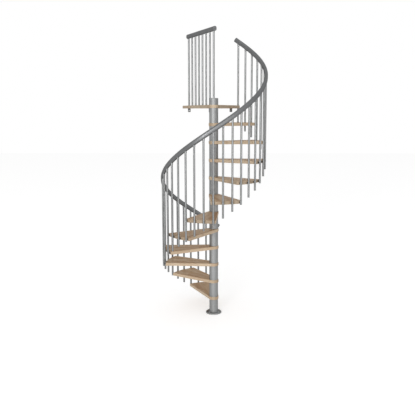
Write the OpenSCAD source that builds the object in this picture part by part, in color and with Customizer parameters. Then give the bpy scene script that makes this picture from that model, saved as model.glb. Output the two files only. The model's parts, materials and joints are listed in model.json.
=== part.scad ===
// Spiral staircase kit: wooden treads and metal spacer tubes threaded on a centre mast,
// with a ring of round balusters, a helical handrail and a landing platform.
// The origin is the centre of the base flange's underside. The lowest baluster stands at +Y,
// and the stair climbs anticlockwise seen from above.

/* [Stair] */
// Radius of the circle on which the balusters stand
guard_r = 678; // [600:1:760]
// Height of one step
rise = 235; // [200:1:250]
// Turn of one step, in degrees
step_turn = 30; // [26:0.5:32]

/* [Pole] */
// Outer diameter of the spacer tubes
pole_d = 118; // [100:1:124]
// Wall of the spacer tubes
pole_wall = 4; // [2:0.5:8]
// Diameter of the mast inside the tubes
mast_d = 60; // [40:1:80]
// Height of the pole above the platform
pole_top = 80; // [40:1:200]
// Height of the domed pole cap
cap_h = 8; // [4:1:20]

/* [Base flange] */
// Diameter of the flange
flange_d = 212; // [200:1:260]
// Thickness of the flange
flange_t = 18; // [10:1:30]
// Diameter of the floor bolt holes
flange_hole_d = 11; // [8:0.5:14]
// Number of floor bolts
flange_holes = 4; // [3:1:6]

/* [Treads] */
// Thickness of the wood of treads and platform
tread_t = 40; // [30:1:50]
// Rounding of the wood's edges
edge_r = 4; // [2:0.5:8]
// Diameter of the round hub that is clamped in the pole
hub_d = 132; // [126:1:160]
// Reach of a tread past its corner balusters
nosing = 32; // [20:1:50]

/* [Guard] */
// Diameter of the balusters
bar_d = 25; // [16:1:30]
// Balusters on each step
bars_per_step = 3; // [2:1:4]
// Reach of a baluster below the top of its lower tread
bar_drop = 45; // [42:1:90]
// Clear gap between a tread's end and the balusters
bar_gap = 15; // [6:1:30]
// Diameter of the spacers between treads and balusters
spacer_d = 18; // [10:1:24]
// Width of the handrails' flat-oval section
rail_w = 45; // [38:1:60]
// Height of the handrails' flat-oval section
rail_t = 62; // [56:1:90]
// Height of the handrail's centre above the tread behind it
rail_h = 1108; // [1000:1:1250]
// Reach of the handrail past the axis of its lowest baluster
rail_lead = 72; // [30:1:100]
// Reach of the handrail past the axis of its uppermost baluster
rail_over = 49; // [30:1:100]
// Wall of the ferrules under the handrail
ferrule_wall = 2; // [1:0.5:5]
// Length of the ferrules under the handrail
ferrule_l = 20; // [18:1:60]

/* [Platform] */
// Reach of the landing edge past the balusters' circle
landing_reach = 212; // [120:1:400]
// Reach of the landing edge on the guarded side
landing_left = 461; // [380:1:600]
// Wood beside the uppermost helical baluster, from its axis to the platform's side
lead_margin = 24; // [22:1:60]
// Balusters on the platform
platform_bars = 8; // [6:1:10]
// Clear gap between the pole and the first platform baluster
platform_bar_gap = 17; // [10:1:60]
// Distance of the last platform baluster from the platform's side corner
guard_side = 98; // [70:1:140]
// Distance of the last platform baluster from the landing edge
guard_back = 50; // [30:1:90]
// Height of the platform rail's centre above the platform
platform_rail_h = 979; // [900:1:1100]
// Reach of the platform rail past the axes of its end balusters
platform_rail_over = 42; // [20:1:50]

/* [Landing brackets] */
// Width of a bracket
bracket_w = 38; // [25:1:60]
// Height of a bracket's upright leg
bracket_h = 52; // [40:1:100]
// Length of a bracket's leg under the platform
bracket_l = 50; // [30:1:80]
// Thickness of the bracket plate
bracket_t = 5; // [3:0.5:8]
// Diameter of a bracket's bolt hole
bracket_hole_d = 11; // [6:0.5:14]
// Distance between neighbouring brackets
bracket_pitch = 305; // [200:1:330]
// Distance of the middle bracket from the middle of the landing edge, towards the guarded side
bracket_shift = 10; // [0:1:40]

/* [Hidden] */

wood = "burlywood";
paint = "silver";
rail_paint = "slategray";
fixing = "dimgray";

treads = 11;
levels = treads + 1;
first_angle = 90;
fit = 0.2;
fine = 64;

platform_z = levels * rise;
tread_r = guard_r - bar_d / 2 - bar_gap;
flange_pcd = (flange_d + pole_d) / 2;
bar_turn = step_turn / bars_per_step;
last_bar = treads * bars_per_step;
rail_slope = atan(rise / (guard_r * step_turn * PI / 180));
rail_lead_turn = rail_lead / guard_r * 180 / PI;
rail_over_turn = rail_over / guard_r * 180 / PI;
rail_arc_steps = 8;
rail_sides = 2 * (rail_arc_steps + 1);
rail_ring_turn = 2.5;
rail_flat = rail_t - rail_w;
rail_under = rail_flat / 2 / cos(rail_slope);
rail_end_r = 5;
rail_joints = [for (i = [0 : 4]) round(i * last_bar / 4) + (i == 0 ? -0.5 : 0.5)];

corner_turn = step_turn / 2 + asin(nosing / tread_r);
arc_steps = 12;

platform_lead = first_angle + treads * step_turn - 360;
landing_y = guard_r + landing_reach;
landing_right = guard_r * cos(platform_lead) + lead_margin;
guard_start = [0, pole_d / 2 + platform_bar_gap + bar_d / 2];
guard_end = [guard_side - landing_left, landing_y - guard_back];
guard_run = norm(guard_end - guard_start);
guard_angle = atan2(guard_end[1] - guard_start[1], guard_end[0] - guard_start[0]);

// Turn of baluster k past the first one
function bar_at(k) = k * bar_turn;
// Direction of a tread's centre line
function tread_angle(j) = first_angle + (j - 0.5) * step_turn;
// Height of the top of tread j
function tread_z(j) = j * rise;
// Height of the handrail's centre line, turned by a past the first baluster
function rail_z(a) = rail_h + a / step_turn * rise;
// Point of the handrail's centre line, moved by s along its direction
function rail_point(a, s = 0) =
    let (w = first_angle + a, run = s * cos(rail_slope))
    [guard_r * cos(w) - run * sin(w), guard_r * sin(w) + run * cos(w), rail_z(a) + s * sin(rail_slope)];
// Section of a handrail about point c, with level direction n and upright direction u, inset by g:
// two half circles joined by flats
function rail_section(c, n, u, g) =
    [for (half = [0, 1], i = [0 : rail_arc_steps])
        let (b = 180 * (half + i / rail_arc_steps), r = rail_w / 2 - g)
        c + r * cos(b) * n + (r * sin(b) + (0.5 - half) * rail_flat) * u];
// Ring of the helical handrail at turn a, moved by s along its direction
function rail_ring(a, g = 0, s = 0) =
    let (w = first_angle + a, lean = sin(rail_slope))
    rail_section(rail_point(a, s), [cos(w), sin(w), 0],
        [sin(w) * lean, -cos(w) * lean, cos(rail_slope)], g);
// Insets and moves of the rings round the edge of a rail's end face, from the face inwards
rail_end_steps = [for (e = [90, 60, 30, 0]) rail_end_r * [1 - cos(e), sin(e) - 1]];

// Plate with rounded edges from a convex outline, its top at height z
module wood_plate(z) {
    translate([0, 0, z - tread_t])
        hull()
            for (layer = [[0, 1], [0.3, 0.3], [1, 0]])
                translate([0, 0, layer[0] * edge_r])
                    linear_extrude(tread_t - 2 * layer[0] * edge_r)
                        offset(delta = -layer[1] * edge_r)
                            children();
}

// Bore for the mast through wood at height z
module mast_bore(z) {
    translate([0, 0, z - tread_t - 1])
        cylinder(d = mast_d + 2 * fit, h = tread_t + 2, $fn = fine);
}

// Straight stretch of the handrail's round lower edge at turn a, for cutting what meets it
module rail_core(a) {
    translate(rail_point(a))
        rotate([0, 0, first_angle + a])
            rotate([rail_slope - 90, 0, 0])
                translate([0, rail_flat / 2, 0])
                    cylinder(d = rail_w + 2 * fit, h = 4 * rail_w, center = true, $fn = fine);
}

// Places what follows at the foot of baluster k
module at_bar(k) {
    rotate([0, 0, first_angle + bar_at(k)])
        translate([guard_r, 0, 0])
            children();
}

module base_flange() {
    color(paint)
        difference() {
            rotate_extrude($fn = fine)
                difference() {
                    square([flange_d / 2, flange_t]);
                    translate([flange_d / 2 - flange_t / 2, flange_t / 2])
                        difference() {
                            square(flange_t);
                            circle(d = flange_t, $fn = fine);
                        }
                }
            for (i = [0 : flange_holes - 1])
                rotate([0, 0, (i + 0.5) * 360 / flange_holes])
                    translate([flange_pcd / 2, 0, -1])
                        cylinder(d = flange_hole_d, h = flange_t + 2, $fn = fine);
        }
}

module centre_mast() {
    color(paint)
        translate([0, 0, flange_t])
            cylinder(d = mast_d, h = platform_z + pole_top - flange_t, $fn = fine);
}

// Spacer tube between heights z0 and z1
module tube(z0, z1) {
    color(paint)
        translate([0, 0, z0])
            difference() {
                cylinder(d = pole_d, h = z1 - z0, $fn = fine);
                translate([0, 0, -1])
                    cylinder(d = pole_d - 2 * pole_wall, h = z1 - z0 + 2, $fn = fine);
            }
}

// Spacer tube under tread j
module pole_tube(j) {
    tube(j == 1 ? flange_t : tread_z(j - 1), tread_z(j) - tread_t);
}

module pole_collar() {
    tube(platform_z, platform_z + pole_top);
}

module pole_cap() {
    color(paint)
        translate([0, 0, platform_z + pole_top])
            rotate_extrude($fn = fine)
                intersection() {
                    square([pole_d / 2, cap_h]);
                    translate([pole_d / 2 - cap_h, 0])
                        union() {
                            circle(r = cap_h, $fn = fine);
                            translate([-pole_d, 0])
                                square([pole_d, cap_h]);
                        }
                }
}

module tread(j) {
    color(wood)
        rotate([0, 0, tread_angle(j)])
            difference() {
                wood_plate(tread_z(j))
                    hull() {
                        circle(d = hub_d, $fn = fine);
                        polygon(concat([[0, 0]], [for (i = [-arc_steps : 2 : arc_steps])
                            let (w = corner_turn * i / arc_steps)
                            tread_r * [cos(w), sin(w)]]));
                    }
                mast_bore(tread_z(j));
            }
}

// Outline of the platform: hub, leading corner, and the two ends of the landing edge
module platform_outline() {
    lead_turn = platform_lead + step_turn / 2 - corner_turn + asin(hub_d / 2 / tread_r);
    lead_at = [hub_d / 2 * sin(lead_turn), -hub_d / 2 * cos(lead_turn)];
    lead_y = lead_at[1] + (landing_right - lead_at[0]) * tan(lead_turn);
    hull() {
        circle(d = hub_d, $fn = fine);
        polygon([[0, 0], [landing_right, lead_y], [landing_right, landing_y], [-landing_left, landing_y]]);
    }
}

module platform() {
    color(wood)
        difference() {
            wood_plate(platform_z)
                platform_outline();
            mast_bore(platform_z);
            at_bar(last_bar)
                translate([0, 0, platform_z - tread_t - 1])
                    cylinder(d = bar_d + 2 * fit, h = tread_t + 2, $fn = fine);
        }
}

module landing_brackets() {
    middle = (landing_right - landing_left) / 2;
    color(fixing)
        for (i = [-1 : 1])
            translate([middle - bracket_shift + i * bracket_pitch, landing_y, platform_z - tread_t])
                difference() {
                    translate([-bracket_w / 2, -bracket_l, -bracket_h])
                        cube([bracket_w, bracket_l, bracket_h]);
                    translate([-bracket_w, -bracket_l - bracket_t, -bracket_h - bracket_t])
                        cube([2 * bracket_w, bracket_l, bracket_h]);
                    translate([0, 1, -bracket_h * 0.6])
                        rotate([90, 0, 0])
                            cylinder(d = bracket_hole_d, h = bracket_t + 2, $fn = fine);
                }
}

module balusters(n) {
    color(paint)
        for (k = [ceil(rail_joints[n - 1]) : floor(rail_joints[n])])
            difference() {
                foot = max(0, bar_at(k) / step_turn * rise - bar_drop);
                at_bar(k)
                    translate([0, 0, foot])
                        cylinder(d = bar_d, h = rail_z(bar_at(k)) - rail_under - foot, $fn = fine);
                rail_core(bar_at(k));
            }
}

module tread_spacers() {
    color(fixing)
        for (j = [1 : treads], i = [0 : bars_per_step])
            at_bar((j - 1) * bars_per_step + i)
                translate([0, 0, tread_z(j) - tread_t / 2])
                    difference() {
                        translate([-bar_d / 2 - bar_gap, 0, 0])
                            rotate([0, 90, 0])
                                cylinder(d = spacer_d, h = bar_gap + bar_d / 2, $fn = fine);
                        cylinder(d = bar_d + 2 * fit, h = 2 * spacer_d, center = true, $fn = fine);
                    }
}

module rail_ferrules() {
    color(paint)
        for (k = [0 : last_bar])
            difference() {
                at_bar(k)
                    translate([0, 0, rail_z(bar_at(k)) - rail_under - rail_w / 2 - ferrule_l])
                        difference() {
                            cylinder(d = bar_d + 2 * ferrule_wall, h = ferrule_l + rail_w / 2, $fn = fine);
                            translate([0, 0, -1])
                                cylinder(d = bar_d + 2 * fit, h = ferrule_l + rail_w, $fn = fine);
                        }
                rail_core(bar_at(k));
            }
}

// Solid through rings of a handrail's section
module swept(rings) {
    last = len(rings) - 1;
    points = [for (ring = rings, p = ring) p];
    sides = [for (i = [0 : last - 1], b = [0 : rail_sides - 1])
        let (c = (b + 1) % rail_sides, q = i * rail_sides)
        [q + b, q + c, q + rail_sides + c, q + rail_sides + b]];
    ends = [
        [for (b = [rail_sides - 1 : -1 : 0]) b],
        [for (b = [0 : rail_sides - 1]) last * rail_sides + b]
    ];
    color(rail_paint)
        polyhedron(points, concat(sides, ends));
}

// Length n of the helical handrail, from one joint to the next
module handrail(n) {
    from = n == 1 ? -rail_lead_turn : bar_at(rail_joints[n - 1]);
    to = n == 4 ? bar_at(last_bar) + rail_over_turn : bar_at(rail_joints[n]);
    lower = n == 1 ? [for (e = rail_end_steps) rail_ring(from, e[0], -e[1])] : [rail_ring(from)];
    upper = n == 4 ? [for (i = [len(rail_end_steps) - 1 : -1 : 0])
        rail_ring(to, rail_end_steps[i][0], rail_end_steps[i][1])] : [rail_ring(to)];
    steps = ceil((to - from) / rail_ring_turn);
    swept(concat(lower, [for (i = [1 : steps - 1]) rail_ring(from + (to - from) * i / steps)], upper));
}

module platform_rail() {
    along = [cos(guard_angle), sin(guard_angle), 0];
    level = [sin(guard_angle), -cos(guard_angle), 0];
    start = [guard_start[0], guard_start[1], platform_z + platform_rail_h];
    over = platform_rail_over;
    near = [for (e = rail_end_steps) rail_section(start - (over + e[1]) * along, level, [0, 0, 1], e[0])];
    far = [for (i = [len(rail_end_steps) - 1 : -1 : 0]) let (e = rail_end_steps[i])
        rail_section(start + (guard_run + over + e[1]) * along, level, [0, 0, 1], e[0])];
    swept(concat(near, far));
}

module platform_balusters() {
    color(paint)
        for (i = [0 : platform_bars - 1])
            difference() {
                at = guard_start + (guard_end - guard_start) * i / (platform_bars - 1);
                translate([at[0], at[1], platform_z])
                    cylinder(d = bar_d, h = platform_rail_h - rail_flat / 2, $fn = fine);
                translate([at[0], at[1], platform_z + platform_rail_h - rail_flat / 2])
                    rotate([0, 0, guard_angle])
                        rotate([0, 90, 0])
                            cylinder(d = rail_w + 2 * fit, h = 2 * rail_w, center = true, $fn = fine);
            }
}

base_flange();
centre_mast();
pole_cap();
pole_collar();
pole_tube(1);  // pole_tube_01
pole_tube(2);  // pole_tube_02
pole_tube(3);  // pole_tube_03
pole_tube(4);  // pole_tube_04
pole_tube(5);  // pole_tube_05
pole_tube(6);  // pole_tube_06
pole_tube(7);  // pole_tube_07
pole_tube(8);  // pole_tube_08
pole_tube(9);  // pole_tube_09
pole_tube(10);  // pole_tube_10
pole_tube(11);  // pole_tube_11
pole_tube(12);  // pole_tube_12
tread(1);  // tread_01
tread(2);  // tread_02
tread(3);  // tread_03
tread(4);  // tread_04
tread(5);  // tread_05
tread(6);  // tread_06
tread(7);  // tread_07
tread(8);  // tread_08
tread(9);  // tread_09
tread(10);  // tread_10
tread(11);  // tread_11
platform();
landing_brackets();
balusters(1);  // balusters_1
balusters(2);  // balusters_2
balusters(3);  // balusters_3
balusters(4);  // balusters_4
tread_spacers();
rail_ferrules();
handrail(1);  // handrail_1
handrail(2);  // handrail_2
handrail(3);  // handrail_3
handrail(4);  // handrail_4
platform_balusters();
platform_rail();
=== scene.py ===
# %% [markdown]
# # A spiral staircase kit, dressed for its picture
#
# The solids of the stair arrive as a fixed frame: every node already stands where it belongs, in metres,
# with the origin under the base flange and +Z up the pole. This lesson gives each surface its finish,
# remakes the pieces whose curves want a finer mesh (treads, platform and handrails), and adds the small
# hardware that a fitter would add. Every new shape is worked out as whole arrays of numbers, so each one
# is a formula to read.

# %% Load the frame
import json
import math

import bpy
import numpy as np
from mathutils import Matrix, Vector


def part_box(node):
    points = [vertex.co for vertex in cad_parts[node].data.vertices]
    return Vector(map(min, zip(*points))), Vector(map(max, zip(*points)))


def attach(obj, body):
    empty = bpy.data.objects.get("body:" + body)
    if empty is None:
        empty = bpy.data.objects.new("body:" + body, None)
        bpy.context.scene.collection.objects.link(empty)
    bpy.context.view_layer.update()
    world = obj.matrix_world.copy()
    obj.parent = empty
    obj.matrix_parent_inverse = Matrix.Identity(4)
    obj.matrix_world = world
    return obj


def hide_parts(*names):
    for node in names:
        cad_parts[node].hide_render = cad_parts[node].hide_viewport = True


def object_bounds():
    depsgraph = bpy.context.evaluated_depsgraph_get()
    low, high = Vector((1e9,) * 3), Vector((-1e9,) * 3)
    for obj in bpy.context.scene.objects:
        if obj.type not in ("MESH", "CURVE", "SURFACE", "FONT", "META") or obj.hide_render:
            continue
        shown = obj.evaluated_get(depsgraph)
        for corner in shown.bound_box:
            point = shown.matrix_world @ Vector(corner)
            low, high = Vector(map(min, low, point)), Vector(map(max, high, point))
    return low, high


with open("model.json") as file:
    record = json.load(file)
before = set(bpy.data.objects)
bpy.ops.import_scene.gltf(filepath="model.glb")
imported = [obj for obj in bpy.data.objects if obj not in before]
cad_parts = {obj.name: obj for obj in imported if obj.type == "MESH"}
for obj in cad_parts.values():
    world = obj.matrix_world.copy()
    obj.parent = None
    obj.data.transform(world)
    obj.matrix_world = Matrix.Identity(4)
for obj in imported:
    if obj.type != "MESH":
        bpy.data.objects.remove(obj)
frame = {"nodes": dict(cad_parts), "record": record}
cad_low, cad_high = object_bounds()
nodes = frame["nodes"]
print("nodes:", len(nodes), "height of the stair:", round(cad_high[2], 3), "m")

# %% [markdown]
# ## The sizes that rule the stair
#
# A spiral stair is ruled by a few numbers: how many treads it has, how far each one turns, and how high a
# step is. They could all be typed in, but a typed height would part from the solids as soon as these
# change. So the heights are measured on the frame, and only what no box can show is written here: the
# turn of a step and the place of the first baluster.

# %% Driving sizes
MM = 0.001
TREADS = 11
STEP_TURN = math.radians(30)
FIRST_BAR = math.radians(90)

first_low, first_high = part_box("tread_01")
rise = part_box("tread_02")[1].z - first_high.z
tread_t = first_high.z - first_low.z
platform_low, platform_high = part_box("platform")
print("rise", round(rise / MM, 1), "mm, tread", round(tread_t / MM, 1), "mm thick")

# %% [markdown]
# ## The camera
#
# The view is a plain one, level with the platform and looking slightly down. A camera could be pushed
# about by eye until the picture fits, but a measured one is exact. Its focal length and the point where
# its axis meets the picture are given in pixels of the square picture, and turned into millimetres of
# lens on a 36 mm sensor. That point isn't the middle of the picture, so a small shift of the lens takes
# up the difference.

# %% Place the camera
IMAGE = 415
SENSOR = 36.0
FOCAL_PX = 555.0
AXIS_PX = (213.7, 190.0)
CAMERA_DISTANCE = 7.332
CAMERA_HEIGHT = 2.723
CAMERA_PITCH = math.radians(7.96)
CAMERA_TURN = math.radians(0.41)

lens = bpy.data.cameras.new("photo_camera")
lens.sensor_width = SENSOR
lens.lens = SENSOR * FOCAL_PX / IMAGE
lens.shift_x = (IMAGE / 2 - AXIS_PX[0]) / IMAGE
lens.shift_y = (AXIS_PX[1] - IMAGE / 2) / IMAGE
camera = bpy.data.objects.new("photo_camera", lens)
camera.location = (CAMERA_DISTANCE * math.sin(CAMERA_TURN),
                   -CAMERA_DISTANCE * math.cos(CAMERA_TURN), CAMERA_HEIGHT)
camera.rotation_euler = (math.pi / 2 - CAMERA_PITCH, 0, CAMERA_TURN)
bpy.context.scene.collection.objects.link(camera)
bpy.context.scene.camera = camera
bpy.context.scene.view_settings.view_transform = "Standard"
print("lens", round(lens.lens, 2), "mm, shift", round(lens.shift_x, 4), round(lens.shift_y, 4))

# %% [markdown]
# ## Two helpers for materials
#
# Colours are written as the hex values that one reads off a screen, but a shader wants linear light, so
# one function does that sum. A second one adds a node: its properties, its socket values and its links in
# one call. Nodes could be placed by hand in the shader editor, but written this way a material reads as a
# list of what happens to the surface, and it comes out the same every time.

# %% Colour and node helpers
def linear(colour):
    """sRGB hex to linear RGBA: c / 12.92 below 0.04045, else ((c + 0.055) / 1.055) ** 2.4."""
    c = np.array([int(colour[i:i + 2], 16) for i in (1, 3, 5)]) / 255
    return (*np.where(c <= 0.04045, c / 12.92, ((c + 0.055) / 1.055) ** 2.4), 1.0)


def add(tree, kind, inputs=None, **settings):
    """Adds a shader node; an input is a value, or a (node, output) pair to link from."""
    node = tree.nodes.new("ShaderNode" + kind)
    for name, value in settings.items():
        setattr(node, name, value)
    for name, value in (inputs or {}).items():
        if isinstance(value, tuple) and isinstance(value[0], bpy.types.Node):
            tree.links.new(value[0].outputs[value[1]], node.inputs[name])
        else:
            node.inputs[name].default_value = value
    return node


def new_material(name):
    """An empty node material, with its tree and its output node."""
    material = bpy.data.materials.new(name)
    material.use_nodes = True
    material.node_tree.nodes.clear()
    return material, material.node_tree, add(material.node_tree, "OutputMaterial")


print("white is", [round(v, 3) for v in linear("#ffffff")])

# %% [markdown]
# ## Beech, glued up from blocks
#
# The treads and the platform are block-laminated beech: strips a few centimetres wide, each made of
# lengths whose butt ends step from strip to strip. Every block comes from another board, so its tone
# differs. A picture of wood could be laid on, but it would stretch and repeat. Here the blocks are
# counted instead. An attribute holds each point's place along, across and through the board; the whole
# part of place divided by block size is the number of the block, and white noise draws a tone from that
# number. So one material serves every tread.

# %% Blocks and glue lines
STAVE_W = 38 * MM
BLOCK_L = 330 * MM
SEAM_W = 0.9 * MM        # a real glue line is a tenth of this: drawn wide enough to show
SEAM_SHADE = 0.72


def blocks(tree, place):
    """Strip = floor(across / width), block = floor(along / length + the strip's random slide).

    The tone is white noise of these two numbers.
    """
    axes = add(tree, "SeparateXYZ", {"Vector": (place, "Vector")})
    across = add(tree, "Math", {0: (axes, "Y"), 1: STAVE_W}, operation="DIVIDE")
    strip = add(tree, "Math", {0: (across, 0)}, operation="FLOOR")
    slide = add(tree, "TexWhiteNoise", {"W": (strip, 0)}, noise_dimensions="1D")
    along = add(tree, "Math", {0: (axes, "X"), 1: BLOCK_L}, operation="DIVIDE")
    slid = add(tree, "Math", {0: (along, 0), 1: (slide, "Value")}, operation="ADD")
    block = add(tree, "Math", {0: (slid, 0)}, operation="FLOOR")
    number = add(tree, "CombineXYZ", {"X": (strip, 0), "Y": (block, 0)})
    tone = add(tree, "TexWhiteNoise", {"Vector": (number, "Vector")}, noise_dimensions="2D")
    return tone, ((across, strip, STAVE_W), (slid, block, BLOCK_L))


def glue_lines(tree, runs):
    """1 inside a block, falling to the seam's shade within a seam's width of its ends and sides."""
    shades = []
    for run, whole, size in runs:
        part = add(tree, "Math", {0: (run, 0), 1: (whole, 0)}, operation="SUBTRACT")
        middle = add(tree, "Math", {0: (part, 0), 1: 0.5}, operation="SUBTRACT")
        reach = add(tree, "Math", {0: (middle, 0)}, operation="ABSOLUTE")
        shades.append(add(tree, "MapRange", {"Value": (reach, 0), "From Min": 0.5 - SEAM_W / size,
                                             "From Max": 0.5, "To Min": 1.0, "To Max": SEAM_SHADE}))
    return add(tree, "Math", {0: (shades[0], 0), 1: (shades[1], 0)}, operation="MULTIPLY")


print("a block is", round(BLOCK_L / STAVE_W, 1), "times as long as it is wide")

# %% [markdown]
# ## Grain and milled edges
#
# Beech has a fine, straight grain and short dark flecks, both drawn out along the board. Two noises do
# that: the place is divided by a length along the grain and by a much smaller width across it. The place
# is first moved by the block's own noise, so that the grain breaks off at every glue line, as it does
# where boards differ.
#
# The edges look different from the top. They are sanded, which makes them a little paler, and their
# pale tone is partly painted light as well: it lifts the upright faces as the light falling on them would.
# They soak up more lacquer where the fibres end in them, which makes those stretches darker, and their
# corners are rubbed light by feet. The mesh of a board knows where its edges are, so it hands these three
# shares over in a second attribute.

# %% Grain, flecks and edges
GRAIN_W = 2.2 * MM
GRAIN_L = 90 * MM
GRAIN_SPREAD = (0.3, 0.72)    # the values of the noise that are spread over the shades
GRAIN_SHADE = (0.84, 1.08)
FLECK_W = 0.7 * MM
FLECK_L = 5 * MM
FLECK_SPREAD = (0.66, 0.74)   # only the highest values of the noise: few and separate
FLECK_SHADE = 0.82
BOARD_SPREAD = (3, 3, 3)    # metres by which one block's grain may lie apart from the next one's
# painted light: this pale tone lifts the upright sides of the boards, on top of the real sanding
SANDED_AND_LIT_EDGE = "#d4c8b6"
SANDED_AND_LIT_SHARE = 0.42
END_GRAIN_SHADE = 0.72
RUBBED_SHADE = 1.1


def drawn_out(tree, spot, length, width, detail, roughness):
    """Noise with cells of that length along the board, and of that width across and through it."""
    per_metre = (1 / length, 1 / width, 1 / width)
    scaled = add(tree, "VectorMath", {0: (spot, 0), 1: per_metre}, operation="MULTIPLY")
    return add(tree, "TexNoise", {"Vector": (scaled, 0), "Scale": 1.0, "Detail": detail,
                                  "Roughness": roughness})


def grain_and_flecks(tree, place, tone):
    """The grain's noise, and a shade: that noise spread over its range, times a dark value in flecks."""
    moved = add(tree, "VectorMath", {0: (tone, "Color"), 1: BOARD_SPREAD}, operation="MULTIPLY")
    spot = add(tree, "VectorMath", {0: (place, "Vector"), 1: (moved, 0)}, operation="ADD")
    grain = drawn_out(tree, spot, GRAIN_L, GRAIN_W, detail=4.0, roughness=0.6)
    streak = add(tree, "MapRange", {"Value": (grain, "Fac"), "From Min": GRAIN_SPREAD[0],
                                    "From Max": GRAIN_SPREAD[1], "To Min": GRAIN_SHADE[0],
                                    "To Max": GRAIN_SHADE[1]})
    pores = drawn_out(tree, spot, FLECK_L, FLECK_W, detail=1.0, roughness=0.5)
    fleck = add(tree, "MapRange", {"Value": (pores, "Fac"), "From Min": FLECK_SPREAD[0],
                                   "From Max": FLECK_SPREAD[1], "To Min": 1.0, "To Max": FLECK_SHADE})
    return grain, add(tree, "Math", {0: (streak, 0), 1: (fleck, 0)}, operation="MULTIPLY")


def milled_and_lit_edges(tree, wood):
    """Pale tone by side share (sanding plus painted light), darker on end grain, lighter at the arris."""
    place = add(tree, "Attribute", attribute_name="edge")
    milled = add(tree, "SeparateXYZ", {"Vector": (place, "Vector")})
    share = add(tree, "Math", {0: (milled, "X"), 1: SANDED_AND_LIT_SHARE}, operation="MULTIPLY")
    sanded_and_lit = add(tree, "Mix", {0: (share, 0), 6: (wood, 0), 7: linear(SANDED_AND_LIT_EDGE)}, data_type="RGBA")
    soaked = add(tree, "MapRange", {"Value": (milled, "Y"), "To Min": 1.0, "To Max": END_GRAIN_SHADE})
    rubbed = add(tree, "MapRange", {"Value": (milled, "Z"), "To Min": 1.0, "To Max": RUBBED_SHADE})
    worn = add(tree, "Math", {0: (soaked, 0), 1: (rubbed, 0)}, operation="MULTIPLY")
    return add(tree, "VectorMath", {0: (sanded_and_lit, 2), "Scale": (worn, 0)}, operation="SCALE")


print("grain lines", round(GRAIN_W / MM, 1), "mm apart, flecks", round(FLECK_L / MM, 1), "mm long")

# %% [markdown]
# ## The lacquer on the beech
#
# The boards are sealed with a thin satin lacquer. A full coat of gloss over the wood could be had from
# the shader's Coat, but a satin one hardly mirrors anything: a low specular level and a roughness that
# follows the grain give the same quiet sheen, and the grain and the glue lines stay a little sunk under
# it.

# %% The wood
BEECH_TONES = ("#bc966f", "#cbac89", "#d5bb9b", "#c3a27a")
TONE_STOPS = (0.35, 0.7)
LACQUER_ROUGHNESS = (0.36, 0.5)
LACQUER_SPECULAR = 0.08
PORE_DEPTH = 0.4 * MM
PORE_STRENGTH = 0.25


def beech():
    """Block tone times glue lines, grain and flecks; then edges (sanding plus painted light) and satin
    lacquer.
    """
    material, tree, output = new_material("lacquered_block_beech")
    place = add(tree, "Attribute", attribute_name="grain")
    tone, runs = blocks(tree, place)
    ramp = add(tree, "ValToRGB", {"Fac": (tone, "Value")})
    ramp.color_ramp.elements[0].color = linear(BEECH_TONES[0])
    ramp.color_ramp.elements[1].color = linear(BEECH_TONES[-1])
    for position, colour in zip(TONE_STOPS, BEECH_TONES[1:3]):
        ramp.color_ramp.elements.new(position).color = linear(colour)

    grain, texture = grain_and_flecks(tree, place, tone)
    lines = glue_lines(tree, runs)
    relief = add(tree, "Math", {0: (lines, 0), 1: (texture, 0)}, operation="MULTIPLY")
    wood = add(tree, "VectorMath", {0: (ramp, "Color"), "Scale": (relief, 0)}, operation="SCALE")
    finished = milled_and_lit_edges(tree, wood)
    sheen = add(tree, "MapRange", {"Value": (grain, "Fac"), "To Min": LACQUER_ROUGHNESS[0],
                                   "To Max": LACQUER_ROUGHNESS[1]})
    bump = add(tree, "Bump", {"Height": (relief, 0), "Strength": PORE_STRENGTH, "Distance": PORE_DEPTH})
    surface = add(tree, "BsdfPrincipled", {
        "Base Color": (finished, 0), "Roughness": (sheen, 0), "Normal": (bump, 0), "IOR": 1.5,
        "Specular IOR Level": LACQUER_SPECULAR})
    tree.links.new(surface.outputs[0], output.inputs["Surface"])
    return material


# Lacquered beech: warm, pale blocks of differing tone with a quiet sheen; paler edges are partly painted
# light.
BEECH = beech()
print("made", BEECH.name, "with", len(BEECH.node_tree.nodes), "nodes")

# %% [markdown]
# ## Coats on metal, and moulded fixings
#
# Pole and balusters are steel in a pearl-grey powder coat: a closed, slightly dimpled skin with metal
# flake in it. The handrail has a smoother, darker coat. Spacers and plugs are moulded nylon, the brackets
# are painted, and the bolts are zinc-plated. Each could have a material of its own, but they differ only
# in numbers, so one recipe makes them all: a base colour that drifts a little, a roughness that drifts
# too, and a fine bump.
#
# Flake is neither paint nor bare metal. It shines back light that meets it squarely and darkens to the
# sides of a tube, so a pearl coat is mostly metallic in the shader, with a specular tint that takes light
# off its rim.

# %% The recipe of a coat
PATCHES_PER_M = 6.0
ROUGHNESS_DRIFT = 0.04
DIMPLE_STRENGTH = 0.3
NOISE_SPREAD = (0.3, 0.7)     # nearly all of a noise lies between these


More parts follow.
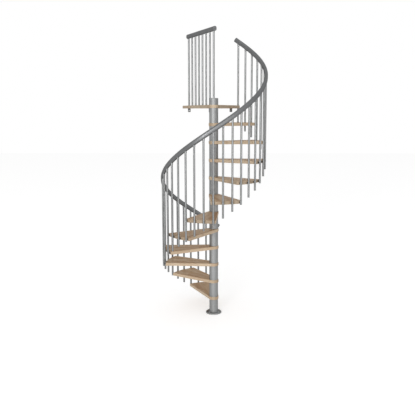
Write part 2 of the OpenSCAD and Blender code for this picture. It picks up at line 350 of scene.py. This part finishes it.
def coat(name, colour, roughness, pebble, height, metallic=0.0, specular=0.5, rim=1.0, drift=0.06):
    """Base colour times 1 +- drift by a broad noise; bump by a fine noise with cells of the size pebble."""
    material, tree, output = new_material(name)
    place = add(tree, "TexCoord")
    broad = add(tree, "TexNoise", {"Vector": (place, "Object"), "Scale": PATCHES_PER_M, "Detail": 3.0})
    fine = add(tree, "TexNoise", {"Vector": (place, "Object"), "Scale": 1 / pebble, "Detail": 2.0})
    shade = add(tree, "MapRange", {"Value": (broad, "Fac"), "From Min": NOISE_SPREAD[0],
                                   "From Max": NOISE_SPREAD[1], "To Min": 1 - drift, "To Max": 1 + drift})
    tint = add(tree, "VectorMath", {0: linear(colour)[:3], "Scale": (shade, 0)}, operation="SCALE")
    sheen = add(tree, "MapRange", {"Value": (fine, "Fac"), "From Min": NOISE_SPREAD[0],
                                   "From Max": NOISE_SPREAD[1], "To Min": roughness - ROUGHNESS_DRIFT,
                                   "To Max": roughness + ROUGHNESS_DRIFT})
    bump = add(tree, "Bump", {"Height": (fine, "Fac"), "Strength": DIMPLE_STRENGTH, "Distance": height})
    surface = add(tree, "BsdfPrincipled", {
        "Base Color": (tint, 0), "Roughness": (sheen, 0), "Normal": (bump, 0),
        "Metallic": metallic, "Specular IOR Level": specular, "Specular Tint": (rim, rim, rim, 1.0)})
    tree.links.new(surface.outputs[0], output.inputs["Surface"])
    return material


print("a coat's colour drifts over patches of about", round(1 / PATCHES_PER_M / MM), "mm")

# %% The coats of this stair
# Baked powder coat on wide tube: a soft, broad gleam down the middle, and darker sides.
POWDER_GREY = coat("powder_coated_steel_pearl_grey", "#929393", roughness=0.5, pebble=1.5 * MM,
                   height=0.05 * MM, metallic=0.75, rim=0.3)
# The same coat on thin tube, where it flows out smoother: a narrower, clearer gleam between dark edges.
# Its base colour is a shade darker than the pole's: painted shade that dims the balusters and their feet.
SHADED_BAR_GREY = coat("powder_coated_tube_pearl_grey", "#868787", roughness=0.38, pebble=1.5 * MM,
                height=0.04 * MM, metallic=0.88, rim=0.0)
# Sprayed lacquer on the rail's profile: darker and more even than powder, with a streak of light along it.
RAIL_GREY = coat("lacquered_rail_profile_grey", "#717273", roughness=0.37, pebble=2.5 * MM,
                 height=0.03 * MM, metallic=0.65, specular=0.3, rim=0.35)
# Moulded nylon: dark and dull, without a gleam. Its grain is a third of this size, drawn coarser to show.
NYLON = coat("moulded_nylon_dark_grey", "#4a4b4d", roughness=0.55, pebble=0.8 * MM,
             height=0.05 * MM, specular=0.4)
# Satin paint over plate: dark grey, half dull and slightly uneven.
BRACKET_GREY = coat("painted_bracket_dark_grey", "#6a6a69", roughness=0.5, pebble=1.5 * MM,
                    height=0.05 * MM)
# Zinc plate: a cool, cloudy metal. Its crystals are too fine to show, so they are drawn coarser.
ZINC = coat("zinc_plated_steel", "#9a9d9f", roughness=0.4, pebble=1.2 * MM,
            height=0.03 * MM, metallic=0.9)

by_slot = {"pole_paint": POWDER_GREY, "baluster_paint": SHADED_BAR_GREY, "rail_paint": RAIL_GREY,
           "fixing_plastic": NYLON, "fixing_steel": BRACKET_GREY, "wood": BEECH}
for entry in frame["record"]["subparts"]:
    nodes[entry["node"]].material_slots[0].material = by_slot[entry["material_slot"]]

# %% [markdown]
# ## Meshes from whole arrays
#
# A new piece could be pushed and pulled from a cube. Here it is a grid of points worked out at once: rows
# of rings, each ring a closed loop. Neighbouring rings are joined by quads whose indices are arithmetic
# on the grid, and the first and last ring are closed by one face each. So the same few lines serve a
# board, a rail and a screw, and no seam is left open.

# %% Mesh helpers
def tube_faces(rings, sides, looped=False):
    """Quads between ring i and i + 1, side j and j + 1 (wrapping), and one end face on either end ring.

    A looped tube has no ends: its last ring is joined to its first one.
    """
    i, j = np.meshgrid(np.arange(rings if looped else rings - 1), np.arange(sides), indexing="ij")
    k, n = (j + 1) % sides, (i + 1) % rings
    quads = np.stack([i * sides + j, i * sides + k, n * sides + k, n * sides + j], -1)
    ends = [list(range(sides))[::-1], list(range((rings - 1) * sides, rings * sides))]
    return quads.reshape(-1, 4), [] if looped else ends


def make_piece(name, points, quads, ends, material, slot, stands_for=(), rounded=True, **attributes):
    """A mesh at the origin from arrays, riding on the stair; ends are flat, a rounded side is smooth."""
    mesh = bpy.data.meshes.new(name)
    mesh.from_pydata(points.reshape(-1, 3).tolist(), [], quads.tolist() + [list(e) for e in ends])
    smooth = (np.arange(len(mesh.polygons)) < len(quads)) & rounded
    mesh.polygons.foreach_set("use_smooth", smooth)
    for kind, values in attributes.items():
        layer = mesh.attributes.new(kind, "FLOAT_VECTOR", "POINT")
        layer.data.foreach_set("vector", values.astype(np.float32).ravel())
    mesh.materials.append(material)
    piece = bpy.data.objects.new(name, mesh)
    bpy.context.scene.collection.objects.link(piece)
    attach(piece, "root")
    if stands_for:
        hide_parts(*stands_for)


print("a square tube of 3 rings has", len(tube_faces(3, 4)[0]), "quads")

# %% [markdown]
# ## The treads
#
# A tread is a wedge of board, cut to a round hub at the pole and to an arc at its wide end, with its
# edges rounded over. The solid has that outline, and a Bevel modifier could round it, but a bevel can't
# tell the wood where its edges are. So the outline is carried round a rounded edge profile: the place on
# the outline is one parameter, the place on the profile the other, and both together say how far a point
# lies on the edge.

# %% The rounded edge of a board
EDGE_R = 4 * MM
EDGE_STEPS = 5


def plate(outline, z_top, thickness):
    """Rings of an edge profile: the outline moved in by r(1 - sin a), r(1 - cos a) from either face.

    Beside the points it gives how far each is on the side (sin a), how much end grain shows there (that
    times the square of the outward direction's share along the grain), and how near it is to the arris
    (sin 2a).
    """
    ahead = np.roll(outline, -1, 0) - outline
    normal = np.stack([ahead[:, 1], -ahead[:, 0]], -1)
    normal = normal / np.linalg.norm(normal, axis=1, keepdims=True)
    normal = normal + np.roll(normal, 1, 0)
    normal = normal / (0.5 * (normal ** 2).sum(1, keepdims=True))
    turn = np.linspace(0, math.pi / 2, EDGE_STEPS + 1)
    inset = EDGE_R * (1 - np.sin(turn))
    depth = EDGE_R * (1 - np.cos(turn))
    insets = np.concatenate([inset, inset[::-1]])
    heights = np.concatenate([z_top - thickness + depth, z_top - depth[::-1]])
    rings = outline[None] - insets[:, None, None] * normal[None]
    points = np.concatenate([rings, np.broadcast_to(heights[:, None, None], (*rings.shape[:2], 1))], -1)
    side, arris = (np.concatenate([v, v[::-1]])[:, None] for v in (np.sin(turn), np.sin(2 * turn)))
    end_grain = (normal[:, 0] ** 2 / (normal ** 2).sum(1))[None]
    return points, np.stack(np.broadcast_arrays(side, side * end_grain, arris), -1)


print("an edge has", 2 * (EDGE_STEPS + 1), "rings, radius", round(EDGE_R / MM), "mm")

# %% The outline of a tread
HUB_R = 66 * MM
TREAD_R = 650.5 * MM
NOSING = 32 * MM
STRAIGHT_POINTS = 24
RIM_POINTS = 37
HUB_POINTS = 45


def straight(a, b):
    """Points from a to b without b, at (1 - cos u) / 2 of the way, so that they crowd at both corners."""
    u = np.linspace(0, math.pi, STRAIGHT_POINTS, endpoint=False)
    return a + (0.5 - 0.5 * np.cos(u))[:, None] * (np.asarray(b) - a)


def tread_outline():
    """Outer arc from corner to corner, then the hub's arc back between the tangent points of the edges."""
    corner = STEP_TURN / 2 + math.asin(NOSING / TREAD_R)
    tangent = corner - math.asin(HUB_R / TREAD_R) + math.pi / 2
    outer = np.linspace(-corner, corner, RIM_POINTS)
    hub = np.linspace(tangent, 2 * math.pi - tangent, HUB_POINTS)
    rim = TREAD_R * np.stack([np.cos(outer), np.sin(outer)], -1)
    ring = HUB_R * np.stack([np.cos(hub), np.sin(hub)], -1)
    return np.concatenate([rim, straight(rim[-1], ring[0])[1:], ring, straight(ring[-1], rim[0])[1:]])


print("a tread's outline has", len(tread_outline()), "points")

# %% Make the treads
BOARD_SHIFT = np.array([1.37, 0.61, 0.0])


def turned(points, angle):
    """Points turned about the pole by angle."""
    c, s = math.cos(angle), math.sin(angle)
    return points @ np.array([[c, s, 0], [-s, c, 0], [0, 0, 1]])


for j in range(1, TREADS + 1):
    node = f"tread_{j:02d}"
    flat, edge = plate(tread_outline(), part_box(node)[1].z, tread_t)
    placed = turned(flat, FIRST_BAR + (j - 0.5) * STEP_TURN)
    make_piece(node + "_beech", placed, *tube_faces(*flat.shape[:2]), BEECH, "wood", [node],
               grain=flat + j * BOARD_SHIFT, edge=edge)
print("made", TREADS, "treads of", flat.shape[0] * flat.shape[1], "points")

# %% [markdown]
# ## The platform
#
# The platform is the same board with another outline: the hub, the leading edge that a foot meets coming
# up, the side by the last baluster, the straight landing edge, and the guarded side. Its strips run along
# the landing edge. Its corners could be copied by hand; they are read from the frame, apart from the
# leading one, which lies on the tangent of the hub and is worked out from it.

# %% Make the platform
PLATFORM_HUB_POINTS = 60
lead = FIRST_BAR + (TREADS + 0.5) * STEP_TURN - 2 * math.pi
lead_edge = lead - STEP_TURN / 2 - math.asin(NOSING / TREAD_R) + math.asin(HUB_R / TREAD_R)
hub_touch = HUB_R * np.array([math.sin(lead_edge), -math.cos(lead_edge)])
right, left, back = platform_high.x, platform_low.x, platform_high.y
lead_corner = (right, hub_touch[1] + (right - hub_touch[0]) * math.tan(lead_edge))
side_edge = math.atan2(back, left) - math.asin(HUB_R / math.hypot(left, back))
hub_arc = np.linspace(side_edge + math.pi / 2, lead_edge + 1.5 * math.pi, PLATFORM_HUB_POINTS)
hub_ring = HUB_R * np.stack([np.cos(hub_arc), np.sin(hub_arc)], -1)
platform_outline = np.concatenate([
    straight(lead_corner, (right, back)), straight((right, back), (left, back)),
    straight((left, back), hub_ring[0]), hub_ring, straight(hub_ring[-1], lead_corner)[1:]])
board, edge = plate(platform_outline, platform_high.z, tread_t)
make_piece("platform_beech", board, *tube_faces(*board.shape[:2]), BEECH, "wood", ["platform"],
           grain=board + (TREADS + 1) * BOARD_SHIFT, edge=edge)
print("leading corner at", [round(v / MM) for v in lead_corner], "mm")

# %% [markdown]
# ## The handrails
#
# The handrail is a flat-oval profile bent to a helix. A Blender curve with a bevel profile would do it
# too, but it chooses by itself how its section twists on the way up. Here the section is carried along
# the climbing path and kept square to it: its two directions are the level radius and the one square to
# both radius and path. Free ends are cut flat with a rounded edge, and where two lengths meet each edge
# is eased a little, which leaves a fine joint line.

# %% Section and ends of a rail
RAIL_W = 45 * MM
RAIL_T = 62 * MM
RAIL_END_R = 5 * MM
JOINT_EASE = 0.8 * MM
HALF_POINTS = 17
END_STEP = 15
half_turn = np.linspace(0, math.pi, HALF_POINTS)


def rail_sections(centres, level, upward, insets):
    """Two half circles of radius w/2 - inset, (t - w)/2 above and below the path, at each centre."""
    r = (RAIL_W / 2 - insets)[:, None, None]
    turn = np.concatenate([half_turn, half_turn + math.pi])
    lift = np.repeat([0.5, -0.5], HALF_POINTS) * (RAIL_T - RAIL_W)
    across = r * np.cos(turn)[None, :, None] * level[:, None]
    along = (r * np.sin(turn)[None, :, None] + lift[None, :, None]) * upward[:, None]
    return centres[:, None] + across + along


def rail_end(free):
    """Insets and set-backs of an end's rings, from the face inwards: a quarter circle of that radius."""
    e = np.radians(np.arange(90, -1, -END_STEP))
    return (RAIL_END_R if free else JOINT_EASE) * np.stack([1 - np.cos(e), 1 - np.sin(e)])


print("a rail's section has", 2 * HALF_POINTS, "points")

# %% Make the helical handrails
GUARD_R = 678 * MM
RAIL_H = 1108 * MM
RAIL_LEAD = 72 * MM / GUARD_R
RAIL_OVER = 49 * MM / GUARD_R
RAIL_JOINTS = (8.5, 17.5, 25.5)
RING_TURN = math.radians(1)
BARS_PER_STEP = 3
LAST_BAR = TREADS * BARS_PER_STEP
bar_turn = STEP_TURN / BARS_PER_STEP
slope = math.atan2(rise, GUARD_R * STEP_TURN)
stops = [-RAIL_LEAD, *(k * bar_turn for k in RAIL_JOINTS), LAST_BAR * bar_turn + RAIL_OVER]


def helix_rings(angles, shifts, insets):
    """Sections about (R cos a, R sin a, height + a rise / turn), each moved by its shift along the path."""
    w = FIRST_BAR + angles
    out = np.stack([np.cos(w), np.sin(w), 0 * w], -1)
    level, climb = math.cos(slope), math.sin(slope)
    along = np.stack([-np.sin(w) * level, np.cos(w) * level, 0 * w + climb], -1)
    centre = GUARD_R * out + shifts[:, None] * along
    centre[:, 2] += RAIL_H + angles / STEP_TURN * rise
    return rail_sections(centre, -out, np.cross(out, along), insets)


for n, (start, stop) in enumerate(zip(stops, stops[1:]), 1):
    low, high = rail_end(n == 1), rail_end(n == len(stops) - 1)[:, ::-1]
    body = np.linspace(start, stop, round((stop - start) / RING_TURN))[1:-1]
    angles = np.concatenate([np.full(low.shape[1], start), body, np.full(high.shape[1], stop)])
    insets = np.concatenate([low[0], 0 * body, high[0]])
    shifts = np.concatenate([low[1], 0 * body, -high[1]])
    rings = helix_rings(angles, shifts, insets)
    make_piece(f"handrail_{n}_profile", rings, *tube_faces(*rings.shape[:2]), RAIL_GREY, "rail_paint",
               [f"handrail_{n}"])
    print("handrail", n, "has", len(rings), "rings")

# %% [markdown]
# ## The rail of the platform
#
# The guard of the platform has the same profile, cut straight. It could be placed by its own box, but a
# box doesn't say which way a slanting rail leans. Its line runs over a row of balusters, so it is read
# from the first and the last of them, and only its height comes from the rail's own box.

# %% Make the platform rail
BAR_R = 12.5 * MM
PLATFORM_RAIL_OVER = 42 * MM
guard_low, guard_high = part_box("platform_balusters")
guard_ends = np.array([[guard_high.x - BAR_R, guard_low.y + BAR_R, platform_high.z],
                       [guard_low.x + BAR_R, guard_high.y - BAR_R, platform_high.z]])
guard_run = np.linalg.norm(guard_ends[1] - guard_ends[0])
guard_along = (guard_ends[1] - guard_ends[0]) / guard_run
rail_low, rail_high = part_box("platform_rail")
ends = rail_end(True)
spots = np.concatenate([ends[1] - PLATFORM_RAIL_OVER, guard_run + PLATFORM_RAIL_OVER - ends[1, ::-1]])
centres = guard_ends[0] + spots[:, None] * guard_along
centres[:, 2] = 0.5 * (rail_low.z + rail_high.z)
up = np.broadcast_to([0.0, 0, 1], centres.shape)
rings = rail_sections(centres, np.cross(up, guard_along), up, np.concatenate([ends[0], ends[0, ::-1]]))
make_piece("platform_rail_profile", rings, *tube_faces(*rings.shape[:2]), RAIL_GREY, "rail_paint",
           ["platform_rail"])
print("platform rail", round((guard_run + 2 * PLATFORM_RAIL_OVER) / MM), "mm long")

# %% [markdown]
# ## Turned hardware
#
# Screw heads, plugs, feet, washers and bolt heads are all turned shapes: a profile of radius and height
# carried round an axis. Each screw could be an object of its own, but forty-four objects are forty-four
# things to keep in order. So a shape is made once and copied to all its places in one sum over arrays,
# and all its copies are one mesh. A place is a point and three directions: the shape's own x, y and z
# axes as they lie on the stair.

# %% Turned shapes and their copies
def turned_profile(profile, sides):
    """Rings of points (r cos b, r sin b, h) for each (r, h) of the profile."""
    r, h = np.array(profile).T[..., None]
    b = np.linspace(0, 2 * math.pi, sides, endpoint=False)
    return np.stack(np.broadcast_arrays(r * np.cos(b), r * np.sin(b), h), -1)


def make_copies(name, shape, axes, at, material, slot, rounded=True):
    """Copy m is at[m] + x * axes[m, 0] + y * axes[m, 1] + z * axes[m, 2], with its faces numbered on."""
    rings, sides = shape.shape[:2]
    quads, ends = tube_faces(rings, sides)
    points = np.einsum("pk,mkc->mpc", shape.reshape(-1, 3), axes) + at[:, None]
    offset = np.arange(len(at)) * rings * sides
    all_quads = (quads[None] + offset[:, None, None]).reshape(-1, 4)
    all_ends = (np.array(ends)[None] + offset[:, None, None]).reshape(-1, sides).tolist()
    make_piece(name, points, all_quads, all_ends, material, slot, rounded=rounded)
    print("made", len(at), name)


print("a disc of 2 rings and 6 sides has", turned_profile([(1, 0), (1, 1)], 6).size // 3, "points")

# %% Places on the stair
def outward(turns):
    """Axes with z pointing away from the pole, x level and y up, for each turn about the pole."""
    w = FIRST_BAR + turns
    c, s, o, i = np.cos(w), np.sin(w), 0 * w, 0 * w + 1
    return np.stack([np.stack([-s, c, o], -1), np.stack([o, o, i], -1), np.stack([c, s, o], -1)], 1)


def upright(count):
    """The stair's own axes, count times."""
    return np.broadcast_to(np.eye(3), (count, 3, 3))


def on_circle(radius, turns, heights):
    """Points at that radius from the pole, turned past the first baluster, at those heights."""
    w = FIRST_BAR + turns
    return np.stack([radius * np.cos(w), radius * np.sin(w), heights + 0 * w], -1)


print("the first baluster points", outward(np.zeros(1))[0, 2].round(3), "from the pole")

# %% [markdown]
# ## Hardware on the balusters
#
# A screw goes through each baluster and its spacer into the edge of the tread, and its domed head shows
# outside. The tubes are open at their lower ends, so each has a moulded plug there. The guard on the
# platform stands on small round feet that cover the holes in the wood. All of it is too small for the
# solids, but it is what one sees close by, so it is made here, sitting on the solids' own places.

# %% Screws, plugs and feet
SCREW_R = 5.5 * MM
SCREW_SINK = BAR_R - math.sqrt(BAR_R ** 2 - SCREW_R ** 2)
DOME_HEAD = [(SCREW_R, -SCREW_SINK), (SCREW_R, 0.8 * MM), (0.8 * SCREW_R, 2.0 * MM),
             (0.45 * SCREW_R, 2.7 * MM), (0.1 * SCREW_R, 2.9 * MM)]
step, corner = np.meshgrid(np.arange(1, TREADS + 1), np.arange(BARS_PER_STEP + 1), indexing="ij")
screw_turn = (((step - 1) * BARS_PER_STEP + corner) * bar_turn).ravel()
screw_z = (step * rise - tread_t / 2).ravel()
make_copies("baluster_screws", turned_profile(DOME_HEAD, sides=16), outward(screw_turn),
            on_circle(GUARD_R + BAR_R, screw_turn, screw_z), ZINC, "fixing_steel")

BAR_DROP = 45 * MM
PLUG = [(0.2 * BAR_R, -4.0 * MM), (0.75 * BAR_R, -3.6 * MM), (0.97 * BAR_R, -2.4 * MM),
        (1.02 * BAR_R, -0.6 * MM), (1.02 * BAR_R, 0), (0.9 * BAR_R, 0.2 * MM)]
raised = np.arange(1, LAST_BAR + 1)
bar_foot = raised / BARS_PER_STEP * rise - BAR_DROP
make_copies("baluster_plugs", turned_profile(PLUG, sides=24), upright(len(raised)),
            on_circle(GUARD_R, raised * bar_turn, bar_foot), NYLON, "fixing_plastic")

GUARD_BARS = 8
FOOT = [(16.5 * MM, 0), (16.5 * MM, 1.5 * MM), (15.8 * MM, 3.0 * MM), (13.4 * MM, 4.5 * MM),
        (12.6 * MM, 6.0 * MM)]
guard_at = guard_ends[0] + np.linspace(0, 1, GUARD_BARS)[:, None] * (guard_ends[1] - guard_ends[0])
# the feet take the balusters' coat, with its darker painted shade
make_copies("platform_baluster_feet", turned_profile(FOOT, sides=32), upright(GUARD_BARS), guard_at,
            SHADED_BAR_GREY, "baluster_paint")

# %% [markdown]
# ## Bolts of the base and of the landing
#
# Hexagonal heads on washers hold the base flange to the floor and the brackets to the edge of the
# landing. A hexagon is a turned shape of six sides whose faces stay flat. The bolt circle could be
# measured on the mesh, but the record already gives it as the place where the stair is fastened, so the
# heads sit on the holes of the solids.

# %% Floor bolts and bracket bolts
HEX_R = 9.4 * MM
HEX_HEAD = [(HEX_R, 1.8 * MM), (HEX_R, 7.0 * MM), (0.86 * HEX_R, 8.2 * MM), (0.2 * HEX_R, 8.4 * MM)]
WASHER = [(10.5 * MM, 0), (10.8 * MM, 0.4 * MM), (10.8 * MM, 1.5 * MM), (10.2 * MM, 2.0 * MM),
          (6 * MM, 2.0 * MM)]
hex_head = turned_profile(HEX_HEAD, sides=6)
washer = turned_profile(WASHER, sides=28)

BOLT_AZIMUTHS = (45.0, 135.0, 225.0, 315.0)
flange_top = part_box("base_flange")[1].z
mounts = {mount["name"]: mount for mount in frame["record"]["mounts"]}
bolt_circle = mounts["base_bolts"]["dims"]["pcd_mm"] * MM
bolt_at = on_circle(bolt_circle / 2, np.radians(BOLT_AZIMUTHS) - FIRST_BAR, flange_top)
floor_axes = upright(len(bolt_at))
make_copies("floor_bolt_washers", washer, floor_axes, bolt_at, ZINC, "fixing_steel")
make_copies("floor_bolt_heads", hex_head, floor_axes, bolt_at, ZINC, "fixing_steel", rounded=False)

BRACKETS = 3
BRACKET_W = 38 * MM
BRACKET_T = 5 * MM
HOLE_SHARE = 0.6
bracket_low, bracket_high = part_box("landing_brackets")
bracket_x = np.linspace(bracket_low.x + BRACKET_W / 2, bracket_high.x - BRACKET_W / 2, BRACKETS)
bracket_z = bracket_high.z - HOLE_SHARE * (bracket_high.z - bracket_low.z)
bracket_face = bracket_high.y - BRACKET_T
bracket_at = np.stack([bracket_x, 0 * bracket_x + bracket_face, 0 * bracket_x + bracket_z], -1)
forward = np.broadcast_to(np.array([[1.0, 0, 0], [0, 0, 1], [0, -1, 0]]), (BRACKETS, 3, 3))
make_copies("bracket_bolt_washers", washer, forward, bracket_at, ZINC, "fixing_steel")
make_copies("bracket_bolt_heads", hex_head, forward, bracket_at, ZINC, "fixing_steel", rounded=False)

# %% [markdown]
# ## The weld on the flange
#
# The lowest tube is welded to the flange all round, and the paint covers the bead. A bevel in the corner
# would look too sharp, so the bead is a hollow profile carried round the pole, sunk a little into tube
# and flange. Its last ring is joined to its first one, so that it is a closed ring and not a disc inside
# the pole.

# %% Make the weld
WELD = 5 * MM
WELD_SINK = 0.5 * MM
WELD_TOE = 0.3 * MM
pole_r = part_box("pole_tube_01")[1].x
bead = [(pole_r - WELD_SINK, -WELD_SINK), (pole_r + WELD, -WELD_SINK), (pole_r + WELD, WELD_TOE),
        (pole_r + 0.5 * WELD, 0.35 * WELD), (pole_r + 0.2 * WELD, 0.7 * WELD), (pole_r, WELD)]
weld_rings = turned_profile(bead, sides=72) + np.array([0, 0, flange_top])
make_piece("base_weld", weld_rings, *tube_faces(*weld_rings.shape[:2], looped=True), POWDER_GREY,
           "pole_paint")
print("weld", round(WELD / MM), "mm round a tube of", round(2 * pole_r / MM), "mm")

# %% [markdown]
# ## World and floor
#
# The picture is a studio view on white. A very bright world would give that white, but it would also
# flood the stair with light. So the world is white only to the camera and to mirrored and refracted rays,
# and a mild grey as a source of light. The floor does the same: it is pale diffuse paper, and to those
# rays it glows a little as well, just enough to reach white where no shadow falls on it. The shadow under
# the stair stays.

# %% Make the world
def seen_directly(tree):
    """1 for camera, glossy and transmission rays, else 0: the largest of three flags."""
    path = add(tree, "LightPath")
    either = add(tree, "Math", {0: (path, "Is Camera Ray"), 1: (path, "Is Glossy Ray")},
                 operation="MAXIMUM")
    return add(tree, "Math", {0: (either, 0), 1: (path, "Is Transmission Ray")}, operation="MAXIMUM")


AMBIENT = 0.54
WHITE = (1, 1, 1, 1)
world = bpy.data.worlds.new("white_studio")
bpy.context.scene.world = world
world.use_nodes = True
tree = world.node_tree
tree.nodes.clear()
dim = add(tree, "Background", {"Color": WHITE, "Strength": AMBIENT})
white = add(tree, "Background", {"Color": WHITE, "Strength": 1.0})
sky = add(tree, "MixShader", {0: (seen_directly(tree), 0), 1: (dim, 0), 2: (white, 0)})
add(tree, "OutputWorld", {"Surface": (sky, 0)})
print("the world lights the stair with", AMBIENT, "of white")

# %% Make the floor
FLOOR_GLOW = 0.53
FLOOR_HALF = 30.0
PAPER_TONE = "#e7e7e7"
# Matt backdrop paper: an even pale ground without a gleam, on which only the shadow shows.
floor_paper, tree, output = new_material("matt_white_backdrop_paper")
paper = add(tree, "BsdfDiffuse", {"Color": linear(PAPER_TONE)})
glow = add(tree, "Emission", {"Color": WHITE, "Strength": FLOOR_GLOW})
lit = add(tree, "AddShader", {0: (paper, 0), 1: (glow, 0)})
shown = add(tree, "MixShader", {0: (seen_directly(tree), 0), 1: (paper, 0), 2: (lit, 0)})
tree.links.new(shown.outputs[0], output.inputs["Surface"])
square = np.array([[-1, -1, 0], [1, -1, 0], [1, 1, 0], [-1, 1, 0]]) * FLOOR_HALF
floor_mesh = bpy.data.meshes.new("floor")
floor_mesh.from_pydata(square.tolist(), [], [[0, 1, 2, 3]])
floor_mesh.materials.append(floor_paper)
floor = bpy.data.objects.new("floor", floor_mesh)
bpy.context.scene.collection.objects.link(floor)
print("floor", 2 * FLOOR_HALF, "m square")

# %% [markdown]
# ## Lamps
#
# Three softboxes stand far off, so that the stair is lit alike from its foot to its top. The key is
# narrow and stands left of the camera: in the round pole and balusters it is the bright streak left of
# the middle. A broad and gentle fill stands a little to the right and opens the shadows. A wide, faint
# strip high in front lifts the tops of the treads. A lamp's power in watts says little, so each is given
# by its level instead: the share of white that a card facing it would show.

# %% Set the lamps
def softbox(name, azimuth, distance, height, size, level):
    """An area lamp aimed at the stair's middle; a white card there would show level: P = pi^2 d^2 level."""
    lamp = bpy.data.lights.new(name, "AREA")
    lamp.shape = "RECTANGLE"
    lamp.size, lamp.size_y = size
    lamp.energy = math.pi ** 2 * distance ** 2 * level
    box = bpy.data.objects.new(name, lamp)
    a = math.radians(azimuth)
    middle = np.array([0, 0, 0.5 * (cad_low[2] + cad_high[2])])
    place = np.array([distance * math.sin(a), -distance * math.cos(a), height])
    aim = middle - place
    tilt = math.atan2(math.hypot(aim[0], aim[1]), -aim[2])
    swing = math.atan2(aim[1], aim[0]) - math.pi / 2
    box.location = place
    box.rotation_euler = (tilt, 0, swing)
    bpy.context.scene.collection.objects.link(box)
    print(name, round(lamp.energy), "W")


softbox("key_softbox", azimuth=-20, distance=30.0, height=3.0, size=(6.0, 16.0), level=0.48)
softbox("fill_softbox", azimuth=14, distance=30.0, height=3.0, size=(26.0, 18.0), level=0.41)
softbox("strip_softbox", azimuth=0, distance=24.0, height=24.0, size=(46.0, 3.0), level=0.06)
